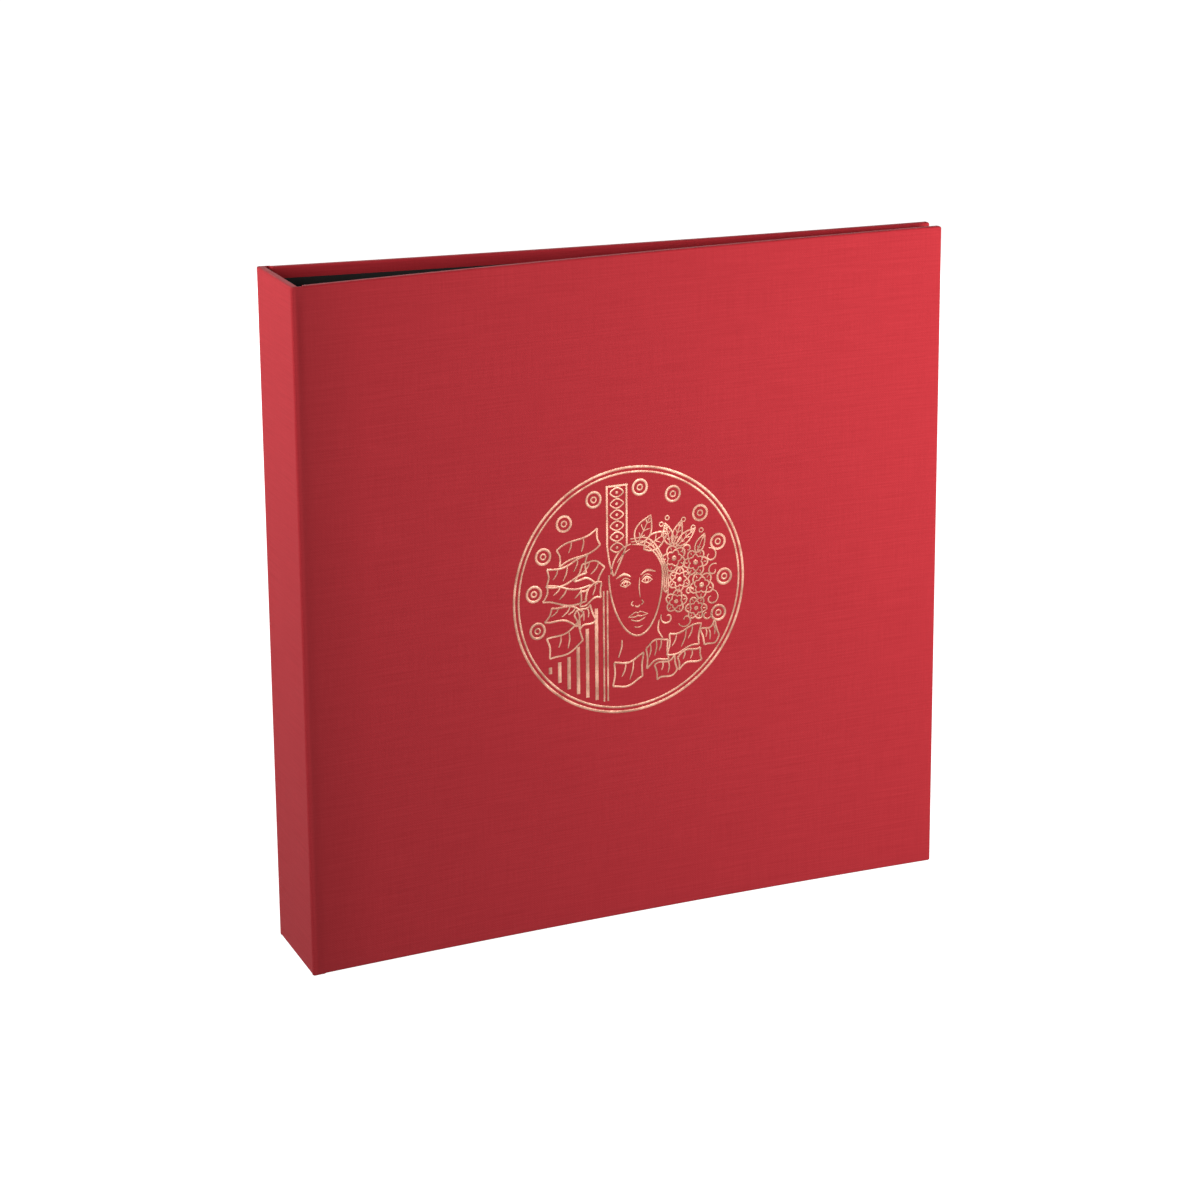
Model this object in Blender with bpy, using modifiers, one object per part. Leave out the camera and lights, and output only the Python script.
"""Ring album: a cloth-bound case, a four-ring mechanism, coin-pocket leaves and card interleaves.

The album stands upright on its lower edges: the spine is at -X, the fore-edge at +X, the front
cover at -Y and the back cover at +Y. Metres, +Z up. The origin is under the middle of the album,
on the surface that it stands on.
"""
import math

import bmesh
import bpy
from mathutils import Matrix

# Case
ALBUM_H = 0.245                     # height of the covers and the spine
COVER_REACH = 0.250                 # ridge of the spine to the fore-edge, along a cover
SPINE_T = 0.042                     # outside thickness at the spine
COVER_TILT = math.radians(3.4)      # each cover leans in, so that the case narrows to its fore-edge
COVER_BOW = 0.003                   # hollow of each cover at the middle of its reach
BOW_STRIPS = 10                     # flat strips that follow the hollow
CLOTH_T = 0.00045
BOARD_T = 0.0020
LINING_T = 0.0003
GLUE_GAP = 0.00012                  # room between glued layers
TURN_IN = 0.004                     # cloth margin that shows inside, around a lining
CLOTH_EDGE_R = 0.0004
JOINT_W = 0.005                     # flexible strip between the ridge and a cover's board
JOINT_INSET = 0.0007                # from the ridge to the strip
JOINT_DEPTH = 0.0005                # the groove's depth
SPINE_CORE_W = 0.0384               # width of the spine's board, between the two joints
SKIN = 0.001                        # how far a cutter runs past the wall it cuts

# Ring mechanism
RING_OFFSETS = (-0.0775, -0.0325, 0.0325, 0.0775)   # 45-65-45 mm pitch, from mid height
RING_R = 0.0113                     # centre line of a ring
WIRE_R = 0.0013
WIRE_GAP = 0.0003                   # between a closed ring's tips, and round a rivet
RING_AXIS_X = 0.0194                # centre of the rings, from the spine's outer face
LEG_Y = 0.0063                      # where a half ring's leg meets its blade
LEG_SLOT_IN = 0.0018                # a leg's slot in the housing, towards the middle
LEG_SLOT_OUT = 0.0021               # and outwards, the way that the leg tilts
RING_BENDS = 13                     # points along a half ring
HOUSING_L = 0.198
HOUSING_HALF_W = 0.0096
HOUSING_RISE = 0.0066
HOUSING_T = 0.0008
HOUSING_FOOT_X = 0.0032
HOUSING_POWER = 3.0                 # squareness of the arch
HOUSING_STEPS = 20
BLADE_X = 0.0050                    # underside of the blades
BLADE_T = 0.0009
BLADE_HALF_W = 0.0082
BLADE_SPLIT = 0.00015               # half of the slit between the blades
BLADE_L = 0.1890
BLADE_PIVOT_Y = 0.0083
RIVET_OFFSETS = (-0.055, 0.055)
RIVET_SHANK_R = 0.0015
RIVET_HEAD_R = 0.0030
RIVET_HEAD_X = 0.00995
RIVET_DOME = 0.0012
RIVET_FOOT_X = 0.00065
RIVET_FOOT_T = 0.0005
LEVER_X = 0.0052                    # pivot of a lever, from the spine's outer face
LEVER_INSET = 0.0025                # pivot of a lever, in from the housing's end
LEVER_HALF_W = 0.0055
TONGUE_HALF_W = 0.0025
PIN_R = 0.0009
PIN_PLAY = 0.00007
PIN_STAND = 0.0006                  # how far a pin's ends stand out of the housing
TONGUE_ROOT = 0.0019                # the tongue is narrow from here inwards, from the pivot
TONGUE_REACH = 0.0080

# Leaves
LEAF_X = 0.0050                     # binding edge, from the rings' centre
LEAF_W = 0.212
LEAF_H = 0.222
LEAF_CORNER_R = 0.003
POCKET_LEAF_T = 0.00045
INTERLEAF_T = 0.00025
LEAF_GAP = 0.0003
SLOT_IN = 0.0086                    # inner and outer end of a slot, from the rings' centre
SLOT_OUT = 0.0168
SLOT_HALF_H = 0.0025
POCKET_LEAVES = 5

# Derived places
SPINE_X = -COVER_REACH * math.cos(COVER_TILT) / 2
MID_Z = ALBUM_H / 2
COVER_T = 2 * CLOTH_T + 2 * GLUE_GAP + BOARD_T
LINING_X = CLOTH_T + 2 * GLUE_GAP + BOARD_T        # depth of a lining below the outer face

FINISHES = {                        # colour, roughness, metallic, alpha
    "cloth": ((0.50, 0.040, 0.053), 0.82, 0.0, 1.0),
    "greyboard": ((0.30, 0.27, 0.22), 0.90, 0.0, 1.0),
    "black_paper": ((0.018, 0.018, 0.016), 0.75, 0.0, 1.0),
    "nickel": ((0.72, 0.71, 0.69), 0.20, 1.0, 1.0),
    "steel": ((0.45, 0.45, 0.46), 0.35, 1.0, 1.0),
    "clear_film": ((0.84, 0.87, 0.88), 0.12, 0.0, 0.35),
    "black_card": ((0.012, 0.012, 0.013), 0.88, 0.0, 1.0),
}


def clear_scene():
    for obj in list(bpy.data.objects):
        bpy.data.objects.remove(obj, do_unlink=True)


def new_collection(name):
    collection = bpy.data.collections.new(name)
    bpy.context.scene.collection.children.link(collection)
    return collection


clear_scene()
ALBUM = new_collection("ring_album")
CUTTERS = new_collection("ring_album_cutters")


def new_material(name, finish):
    colour, roughness, metallic, alpha = FINISHES[finish]
    material = bpy.data.materials.new(name)
    material.use_nodes = True
    shader = material.node_tree.nodes["Principled BSDF"]
    shader.inputs["Base Color"].default_value = (*colour, 1.0)
    shader.inputs["Roughness"].default_value = roughness
    shader.inputs["Metallic"].default_value = metallic
    shader.inputs["Alpha"].default_value = alpha
    return material


def add_part(name, data, finish, parent=None, location=(0, 0, 0), rotation=(0, 0, 0)):
    """Put a mesh or a curve in the album as one named sub-part with its own material."""
    data.materials.append(new_material(name, finish))
    obj = bpy.data.objects.new(name, data)
    obj.location = location
    obj.rotation_euler = rotation
    obj.parent = parent
    ALBUM.objects.link(obj)
    return obj


def add_empty(name, location, turn=0.0):
    empty = bpy.data.objects.new(name, None)
    empty.location = location
    empty.rotation_euler = (0, 0, turn)
    ALBUM.objects.link(empty)
    return empty


def box_mesh(name, x, y, z):
    """A box between pairs of limits along X, Y and Z."""
    spans = [sorted(pair) for pair in (x, y, z)]
    size = Matrix.Diagonal([high - low for low, high in spans] + [1.0])
    centre = Matrix.Translation([(low + high) / 2 for low, high in spans])
    mesh = bpy.data.meshes.new(name)
    bm = bmesh.new()
    bmesh.ops.create_cube(bm, size=1.0, matrix=centre @ size)
    bm.to_mesh(mesh)
    bm.free()
    return mesh


def rod_mesh(name, radius, start, end, along, segments=20):
    """A round bar from start to end; along is the letter of the axis that it runs along."""
    turn = {
        "X": Matrix.Rotation(math.pi / 2, 4, "Y"),
        "Y": Matrix.Rotation(math.pi / 2, 4, "X"),
        "Z": Matrix.Identity(4),
    }[along]
    centre = Matrix.Translation([(a + b) / 2 for a, b in zip(start, end)])
    mesh = bpy.data.meshes.new(name)
    bm = bmesh.new()
    bmesh.ops.create_cone(
        bm, cap_ends=True, segments=segments, radius1=radius, radius2=radius,
        depth=math.dist(start, end), matrix=centre @ turn,
    )
    bm.to_mesh(mesh)
    bm.free()
    return mesh


def add_cutter(mesh, parent=None):
    cutter = bpy.data.objects.new(mesh.name, mesh)
    cutter.parent = parent
    cutter.hide_render = True
    cutter.display_type = "WIRE"
    CUTTERS.objects.link(cutter)
    return cutter


def cut(obj, mesh):
    """Take the mesh's shape, given in the object's parent's space, out of the object."""
    modifier = obj.modifiers.new(mesh.name, "BOOLEAN")
    modifier.operation = "DIFFERENCE"
    modifier.solver = "EXACT"
    modifier.object = add_cutter(mesh, obj.parent)


def round_edges(obj, width):
    modifier = obj.modifiers.new("edges", "BEVEL")
    modifier.width = width
    modifier.segments = 2
    modifier.limit_method = "ANGLE"


def settle_mesh(obj):
    """Swap an object's modifiers for the mesh that they make."""
    bpy.context.view_layer.update()
    depsgraph = bpy.context.evaluated_depsgraph_get()
    mesh = bpy.data.meshes.new_from_object(obj.evaluated_get(depsgraph))
    obj.modifiers.clear()
    obj.data = mesh


def hollow(obj, inward):
    """Bend a cover's layer inwards along its reach; inward is +1 or -1 along its own Y."""
    settle_mesh(obj)
    bm = bmesh.new()
    bm.from_mesh(obj.data)
    for step in range(1, BOW_STRIPS):
        bmesh.ops.bisect_plane(
            bm, geom=bm.verts[:] + bm.edges[:] + bm.faces[:], dist=1e-6,
            plane_co=(COVER_REACH * step / BOW_STRIPS, 0, 0), plane_no=(1, 0, 0),
        )
    for vert in bm.verts:
        along = vert.co.x / COVER_REACH
        vert.co.y += inward * 4 * COVER_BOW * along * (1 - along)
    bm.to_mesh(obj.data)
    bm.free()


def cover(side_name, outward):
    """A cover: board, wrapped cloth, lining and the two strips of its joint.

    Its own X runs from the ridge to the fore-edge, and its outer face lies at its own Y = 0.
    """
    inward = -outward
    hinge = add_empty(
        side_name + "_cover_hinge", (SPINE_X, outward * SPINE_T / 2, 0), inward * COVER_TILT
    )
    board_y = inward * (CLOTH_T + GLUE_GAP)
    board_edge = CLOTH_T + GLUE_GAP
    board = add_part(
        side_name + "_board",
        box_mesh(
            side_name + "_board", (JOINT_W, COVER_REACH - board_edge),
            (board_y, board_y + inward * BOARD_T), (board_edge, ALBUM_H - board_edge),
        ),
        "greyboard", hinge,
    )

    cloth = add_part(
        side_name + "_cover_cloth",
        box_mesh(
            side_name + "_cover_cloth", (JOINT_W, COVER_REACH), (0, inward * COVER_T), (0, ALBUM_H)
        ),
        "cloth", hinge,
    )
    round_edges(cloth, CLOTH_EDGE_R)
    cut(cloth, box_mesh(
        side_name + "_board_room", (JOINT_W - SKIN, COVER_REACH - CLOTH_T),
        (inward * CLOTH_T, inward * (COVER_T - CLOTH_T)), (CLOTH_T, ALBUM_H - CLOTH_T),
    ))
    cut(cloth, box_mesh(
        side_name + "_turn_in_window", (JOINT_W - SKIN, COVER_REACH - TURN_IN),
        (inward * (COVER_T - CLOTH_T - GLUE_GAP), inward * (COVER_T + SKIN)),
        (TURN_IN, ALBUM_H - TURN_IN),
    ))

    lining_edge = TURN_IN + GLUE_GAP
    lining = add_part(
        side_name + "_lining",
        box_mesh(
            side_name + "_lining", (JOINT_W, COVER_REACH - lining_edge),
            (inward * LINING_X, inward * (LINING_X + LINING_T)), (lining_edge, ALBUM_H - lining_edge),
        ),
        "black_paper", hinge,
    )
    for layer in (board, cloth, lining):
        hollow(layer, inward)

    strip_x = (JOINT_INSET, JOINT_W - GLUE_GAP)
    strip_y = inward * JOINT_DEPTH
    add_part(
        side_name + "_joint_cloth",
        box_mesh(
            side_name + "_joint_cloth", strip_x, (strip_y, strip_y + inward * CLOTH_T), (0, ALBUM_H)
        ),
        "cloth", hinge,
    )
    strip_y += inward * (CLOTH_T + GLUE_GAP)
    add_part(
        side_name + "_joint_lining",
        box_mesh(
            side_name + "_joint_lining", strip_x, (strip_y, strip_y + inward * LINING_T),
            (TURN_IN, ALBUM_H - TURN_IN),
        ),
        "black_paper", hinge,
    )


def spine():
    """The spine: board, wrapped cloth and lining, with holes for the mechanism's rivets."""
    core = SPINE_CORE_W / 2
    board_x = SPINE_X + CLOTH_T + GLUE_GAP
    board_edge = CLOTH_T + GLUE_GAP
    board = add_part(
        "spine_board",
        box_mesh(
            "spine_board", (board_x, board_x + BOARD_T), (-core, core),
            (board_edge, ALBUM_H - board_edge),
        ),
        "greyboard",
    )
    lining_x = SPINE_X + LINING_X
    lining = add_part(
        "spine_lining",
        box_mesh(
            "spine_lining", (lining_x, lining_x + LINING_T), (-core, core),
            (TURN_IN + GLUE_GAP, ALBUM_H - TURN_IN - GLUE_GAP),
        ),
        "black_paper",
    )
    cloth = add_part(
        "spine_cloth",
        box_mesh(
            "spine_cloth", (SPINE_X, SPINE_X + COVER_T), (-SPINE_T / 2, SPINE_T / 2), (0, ALBUM_H)
        ),
        "cloth",
    )
    round_edges(cloth, CLOTH_EDGE_R)
    cut(cloth, box_mesh(
        "spine_board_room", (SPINE_X + CLOTH_T, SPINE_X + COVER_T - CLOTH_T), (-SPINE_T, SPINE_T),
        (CLOTH_T, ALBUM_H - CLOTH_T),
    ))
    cut(cloth, box_mesh(
        "spine_turn_in_window", (SPINE_X + COVER_T - CLOTH_T - GLUE_GAP, SPINE_X + COVER_T + SKIN),
        (-SPINE_T, SPINE_T), (TURN_IN, ALBUM_H - TURN_IN),
    ))
    for side in (-1, 1):
        cut(cloth, box_mesh(
            "spine_joint_room", (SPINE_X + CLOTH_T, SPINE_X + COVER_T + SKIN),
            (side * core, side * SPINE_T), (-SKIN, ALBUM_H + SKIN),
        ))

    for offset in RIVET_OFFSETS:
        z = MID_Z + offset
        for obj in (board, lining):
            cut(obj, rod_mesh(
                "rivet_hole", RIVET_SHANK_R + WIRE_GAP, (SPINE_X, 0, z), (SPINE_X + 2 * COVER_T, 0, z),
                "X",
            ))
        cut(board, rod_mesh(
            "rivet_counterbore", RIVET_HEAD_R + WIRE_GAP, (SPINE_X, 0, z),
            (SPINE_X + RIVET_FOOT_X + 2 * RIVET_FOOT_T, 0, z), "X",
        ))


def housing_profile(step):
    """Height above the foot and place across, along the arch's outer face."""
    turn = math.pi * step / HOUSING_STEPS
    power = 2 / HOUSING_POWER
    height = HOUSING_RISE * abs(math.sin(turn)) ** power
    across = HOUSING_HALF_W * math.copysign(abs(math.cos(turn)) ** power, math.cos(turn))
    return height, across


def ring_housing():
    """The arched sheet-metal channel that holds the blades."""
    low_z = MID_Z - HOUSING_L / 2
    bm = bmesh.new()
    rows = []
    for step in range(HOUSING_STEPS + 1):
        height, across = housing_profile(step)
        rows.append([
            bm.verts.new((SPINE_X + HOUSING_FOOT_X + height, across, z))
            for z in (low_z, low_z + HOUSING_L)
        ])
    for (a, b), (c, d) in zip(rows, rows[1:]):
        bm.faces.new((a, b, d, c))
    bmesh.ops.recalc_face_normals(bm, faces=bm.faces)
    mesh = bpy.data.meshes.new("ring_housing")
    bm.to_mesh(mesh)
    bm.free()
    housing = add_part("ring_housing", mesh, "nickel")
    shell = housing.modifiers.new("sheet", "SOLIDIFY")
    shell.thickness = HOUSING_T
    faces_out = mesh.polygons[HOUSING_STEPS // 2].normal.x > 0
    shell.offset = -1 if faces_out else 1

    top_x = SPINE_X + HOUSING_FOOT_X + HOUSING_RISE + SKIN
    for offset in RING_OFFSETS:
        for side in (-1, 1):
            cut(housing, box_mesh(
                "leg_slot", (SPINE_X + BLADE_X, top_x),
                (side * (LEG_Y - LEG_SLOT_IN), side * (LEG_Y + LEG_SLOT_OUT)),
                (MID_Z + offset - 2 * WIRE_R, MID_Z + offset + 2 * WIRE_R),
            ))
    for offset in RIVET_OFFSETS:
        cut(housing, rod_mesh(
            "rivet_hole", RIVET_SHANK_R + WIRE_GAP, (SPINE_X + BLADE_X, 0, MID_Z + offset),
            (top_x, 0, MID_Z + offset), "X",
        ))
    for end in (-1, 1):
        z = MID_Z + end * (HOUSING_L / 2 - LEVER_INSET)
        cut(housing, rod_mesh(
            "pin_hole", PIN_R + PIN_PLAY, (SPINE_X + LEVER_X, -SPINE_T / 2, z),
            (SPINE_X + LEVER_X, SPINE_T / 2, z), "Y",
        ))


def blade(side_name, side):
    """One of the two spring-steel blades, hinged along its outer edge."""
    pivot = add_empty(
        side_name + "_blade_hinge", (SPINE_X + BLADE_X + BLADE_T / 2, side * BLADE_PIVOT_Y, 0)
    )
    plate = add_part(
        side_name + "_blade",
        box_mesh(
            side_name + "_blade", (-BLADE_T / 2, BLADE_T / 2),
            (side * (BLADE_SPLIT - BLADE_PIVOT_Y), side * (BLADE_HALF_W - BLADE_PIVOT_Y)),
            (MID_Z - BLADE_L / 2, MID_Z + BLADE_L / 2),
        ),
        "steel", pivot,
    )
    for offset in RIVET_OFFSETS:
        z = MID_Z + offset
        y = -side * BLADE_PIVOT_Y
        cut(plate, rod_mesh(
            "rivet_notch", RIVET_SHANK_R + 4 * WIRE_GAP, (-2 * BLADE_T, y, z), (2 * BLADE_T, y, z), "X"
        ))
    return pivot


def half_ring(name, side, offset, pivot):
    """A wire that rises from its blade and curves round to the middle of the ring."""
    tip = math.asin(WIRE_GAP / 2 / RING_R)
    foot = math.pi - math.asin(LEG_Y / RING_R)
    points = []
    for step in range(RING_BENDS):
        turn = tip + (foot - tip) * step / (RING_BENDS - 1)
        points.append((RING_AXIS_X + RING_R * math.cos(turn), side * RING_R * math.sin(turn)))
    points.append((BLADE_X + BLADE_T + GLUE_GAP, side * LEG_Y))

    curve = bpy.data.curves.new(name, "CURVE")
    curve.dimensions = "3D"
    curve.bevel_depth = WIRE_R
    curve.bevel_resolution = 3
    curve.render_resolution_u = 0
    curve.use_fill_caps = True
    spline = curve.splines.new("POLY")
    spline.points.add(len(points) - 1)
    for point, (x, y) in zip(spline.points, points):
        point.co = (SPINE_X + x - pivot.location.x, y - pivot.location.y, MID_Z + offset, 1)
    add_part(name, curve, "nickel", pivot)


def rivet(name, offset):
    """A rivet with a domed head on the housing and a flat foot in the spine's board."""
    dome = [
        (RIVET_HEAD_R * math.sin(turn), RIVET_HEAD_X + RIVET_DOME * math.cos(turn))
        for turn in (math.pi / 2 * step / 4 for step in range(5))
    ]
    profile = dome + [
        (RIVET_SHANK_R, RIVET_HEAD_X),
        (RIVET_SHANK_R, RIVET_FOOT_X + RIVET_FOOT_T),
        (RIVET_HEAD_R, RIVET_FOOT_X + RIVET_FOOT_T),
        (RIVET_HEAD_R, RIVET_FOOT_X),
        (0, RIVET_FOOT_X),
    ]
    mesh = bpy.data.meshes.new(name)
    bm = bmesh.new()
    verts = [bm.verts.new((radius, 0, height)) for radius, height in profile]
    for a, b in zip(verts, verts[1:]):
        bm.edges.new((a, b))
    bm.to_mesh(mesh)
    bm.free()
    obj = add_part(
        name, mesh, "nickel", location=(SPINE_X, 0, MID_Z + offset), rotation=(0, math.pi / 2, 0)
    )
    screw = obj.modifiers.new("turn", "SCREW")
    screw.axis = "Z"
    screw.steps = 20
    screw.render_steps = 20
    screw.use_merge_vertices = True
    screw.merge_threshold = 0.00001
    screw.use_smooth_shade = True


def outline_curve(name, outlines, thickness):
    """A flat plate from closed outlines in its own XY plane; inner outlines are holes."""
    curve = bpy.data.curves.new(name, "CURVE")
    curve.dimensions = "2D"
    curve.fill_mode = "BOTH"
    curve.extrude = thickness / 2
    curve.render_resolution_u = 0
    for outline in outlines:
        spline = curve.splines.new("POLY")
        spline.points.add(len(outline) - 1)
        for point, (x, y) in zip(spline.points, outline):
            point.co = (x, y, 0, 1)
        spline.use_cyclic_u = True
    return curve


def rounded_outline(x, y, radius, steps=4):
    """Points round a rectangle between two limits along X and along Y, with round corners."""
    (x0, x1), (y0, y1) = x, y
    centres = (
        (x1 - radius, y1 - radius, 0), (x0 + radius, y1 - radius, 1),
        (x0 + radius, y0 + radius, 2), (x1 - radius, y0 + radius, 3),
    )
    points = []
    for cx, cy, quarter in centres:
        for step in range(steps + 1):
            turn = math.pi / 2 * (quarter + step / steps)
            points.append((cx + radius * math.cos(turn), cy + radius * math.sin(turn)))
    return points


def circle_outline(radius, steps=20):
    turns = [2 * math.pi * step / steps for step in range(steps)]
    return [(radius * math.cos(turn), radius * math.sin(turn)) for turn in turns]


def lever(name, end):
    """A trigger at one end of the housing: its tongue lifts the blades when its tab is pressed."""
    z = MID_Z + end * (HOUSING_L / 2 - LEVER_INSET)
    pivot = (SPINE_X + LEVER_X, 0, z)
    side_view = [
        (-0.0060, -0.0016), (-0.0060, -0.0008), (-0.0018, -0.0008), (-0.0012, 0.0013),
        (0.0010, 0.0016), (0.0055, 0.0026), (0.0100, 0.0070), (0.0110, 0.0066),
        (0.0065, 0.0014), (0.0020, -0.0012), (0.0008, -0.0017), (-0.0010, -0.0017),
    ]
    curve = outline_curve(name, [side_view, circle_outline(PIN_R + PIN_PLAY)], 2 * LEVER_HALF_W)
    source = bpy.data.objects.new(name + "_outline", curve)
    ALBUM.objects.link(source)
    bpy.context.view_layer.update()
    depsgraph = bpy.context.evaluated_depsgraph_get()
    mesh = bpy.data.meshes.new_from_object(source.evaluated_get(depsgraph))
    bpy.data.objects.remove(source)
    # the outline's own X becomes the way out of the housing, and its own Y the way off the spine
    along_spine = Matrix(((0, 1, 0, 0), (0, 0, end, 0), (end, 0, 0, 0), (0, 0, 0, 1)))
    bm = bmesh.new()
    bm.from_mesh(mesh)
    bmesh.ops.remove_doubles(bm, verts=bm.verts, dist=1e-6)
    bmesh.ops.transform(bm, matrix=along_spine, verts=bm.verts)
    bmesh.ops.recalc_face_normals(bm, faces=bm.faces)
    bm.to_mesh(mesh)
    bm.free()
    tab = add_part(name, mesh, "nickel", add_empty(name + "_pivot", pivot))
    for side in (-1, 1):
        cut(tab, box_mesh(
            "tongue_side", (-LEVER_X, SKIN / 2), (side * TONGUE_HALF_W, side * (LEVER_HALF_W + SKIN)),
            (end * -TONGUE_REACH, end * -TONGUE_ROOT),
        ))
    add_part(
        name + "_pin",
        rod_mesh(
            name + "_pin", PIN_R, (pivot[0], -HOUSING_HALF_W - PIN_STAND, z),
            (pivot[0], HOUSING_HALF_W + PIN_STAND, z), "Y",
        ),
        "steel",
    )


def leaf(name, y, thickness, finish):
    """A leaf with four slots, which turns about the rings' centre."""
    half_h = LEAF_H / 2
    outlines = [rounded_outline((LEAF_X, LEAF_X + LEAF_W), (-half_h, half_h), LEAF_CORNER_R)]
    for offset in RING_OFFSETS:
        outlines.append(rounded_outline(
            (SLOT_IN, SLOT_OUT), (offset - SLOT_HALF_H, offset + SLOT_HALF_H), 0.9 * SLOT_HALF_H
        ))
    axis = add_empty(name + "_turn", (SPINE_X + RING_AXIS_X, 0, 0))
    add_part(
        name, outline_curve(name, outlines, thickness), finish, axis, (0, y, MID_Z),
        (math.pi / 2, 0, 0),
    )


def leaves():
    """Pocket leaves with a black interleaf between each two, side by side across the rings."""
    pitch = (POCKET_LEAF_T + INTERLEAF_T) / 2 + LEAF_GAP
    count = 2 * POCKET_LEAVES - 1
    for place in range(count):
        y = (place - (count - 1) / 2) * pitch
        number = place // 2 + 1
        if place % 2:
            leaf(f"interleaf_{number}", y, INTERLEAF_T, "black_card")
        else:
            leaf(f"pocket_leaf_{number}", y, POCKET_LEAF_T, "clear_film")


def ring_mechanism():
    ring_housing()
    for side_name, side in (("front", -1), ("back", 1)):
        pivot = blade(side_name, side)
        for number, offset in enumerate(RING_OFFSETS, 1):
            half_ring(f"{side_name}_half_ring_{number}", side, offset, pivot)
    for place, end in (("bottom", -1), ("top", 1)):
        lever(place + "_lever", end)
    for place, offset in zip(("lower", "upper"), RIVET_OFFSETS):
        rivet(place + "_rivet", offset)


def main():
    spine()
    cover("front", -1)
    cover("back", 1)
    ring_mechanism()
    leaves()


main()
